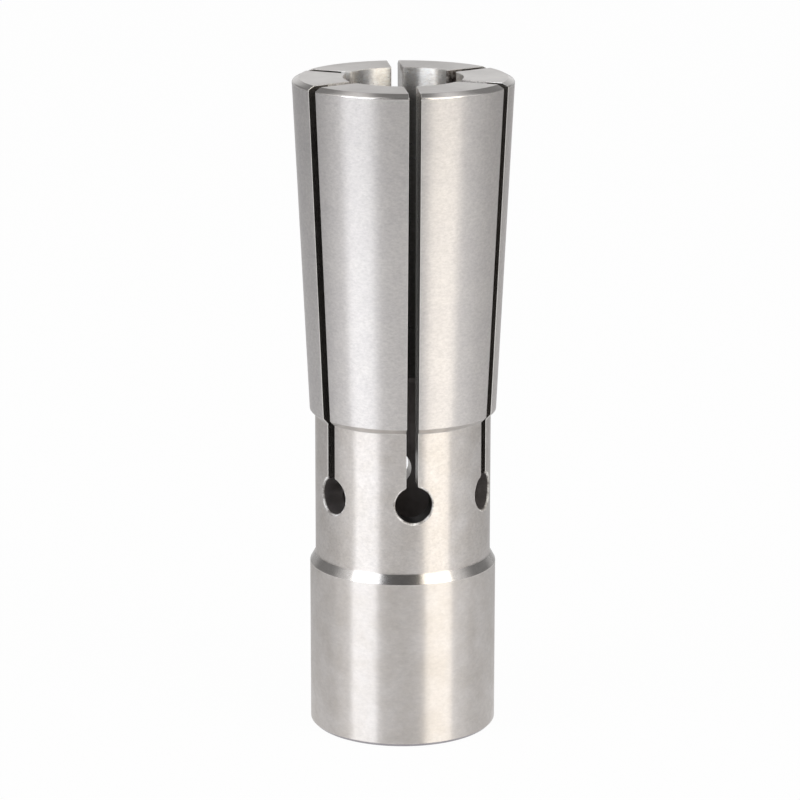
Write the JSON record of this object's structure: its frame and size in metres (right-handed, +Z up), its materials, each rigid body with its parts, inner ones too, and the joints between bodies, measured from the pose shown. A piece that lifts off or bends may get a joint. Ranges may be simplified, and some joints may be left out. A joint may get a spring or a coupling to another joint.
{
  "type": "collet",
  "caption": "Slim tapered spring collet: sawn jaws on a long taper, a narrow drilled neck, and a plain round base with an internal draw thread. It grips a round tool shank in its bore.",
  "frame": {"origin": "middle of the flat base face, on the collet's axis", "axes": "+Z up the collet's axis towards the clamping face and the tool; -Y towards one saw cut"},
  "size_m": [0.0186, 0.0186, 0.056],
  "materials": {
    "ground_steel": "bare hardened spring steel, finely turned and ground round the axis"
  },
  "bodies": {
    "root": {"collet": "ground_steel"}
  },
  "joints": []
}
